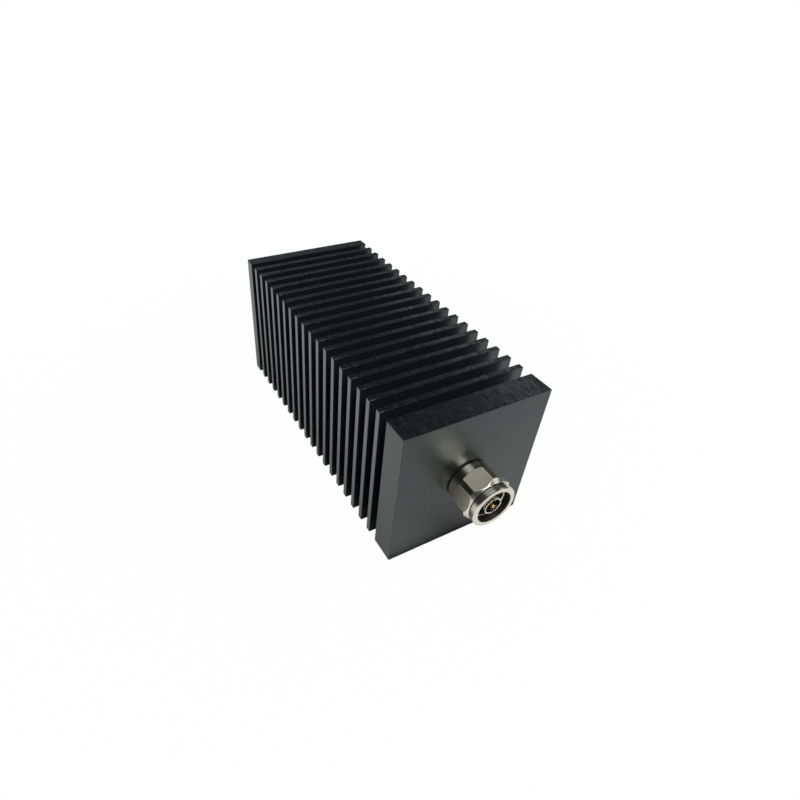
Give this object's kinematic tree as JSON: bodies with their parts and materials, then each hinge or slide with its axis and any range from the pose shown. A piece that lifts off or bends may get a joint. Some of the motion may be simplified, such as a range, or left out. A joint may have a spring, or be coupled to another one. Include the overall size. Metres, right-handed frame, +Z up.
{
  "type": "rf dummy load",
  "caption": "Coaxial dummy load: a black finned square bar with a film resistor inside and a plated coaxial plug with a turning coupling nut on its front plate.",
  "frame": {"origin": "under the middle of the whole length, on the plane that the bar rests on", "axes": "+Z up, the plug points along -Y, +X to the right as seen from the plug's end"},
  "size_m": [0.07, 0.1774, 0.07],
  "materials": {
    "black_anodise": "satin",
    "nickel_plate": "polished",
    "gold_plate": "polished",
    "spring_steel": "satin",
    "seal_rubber": "matte",
    "white_insulator": "matte",
    "bush_brass": "satin",
    "black_screw": "satin",
    "plated_copper": "satin",
    "ceramic": "matte",
    "zinc_screw": "satin"
  },
  "bodies": {
    "load": {"heat_sink": "black_anodise", "connector_body": "nickel_plate", "snap_ring": "spring_steel", "gasket": "seal_rubber", "center_pin": "gold_plate", "bead": "white_insulator", "bead_retainer": "bush_brass", "carrier": "black_anodise", "cap_screws": "black_screw", "termination_flange": "plated_copper", "substrate": "ceramic", "resistor_lid": "ceramic", "input_tab": "plated_copper", "input_pin": "gold_plate", "flange_screws": "zinc_screw", "flange_washers": "zinc_screw"},
    "nut": {"coupling_nut": "nickel_plate"}
  },
  "joints": [
    {"name": "coupling_nut_spin", "type": "hinge", "parent": "load", "child": "nut", "pos_m": [0, -0.08, 0.035], "axis": [0, -1, 0], "continuous": true}
  ]
}
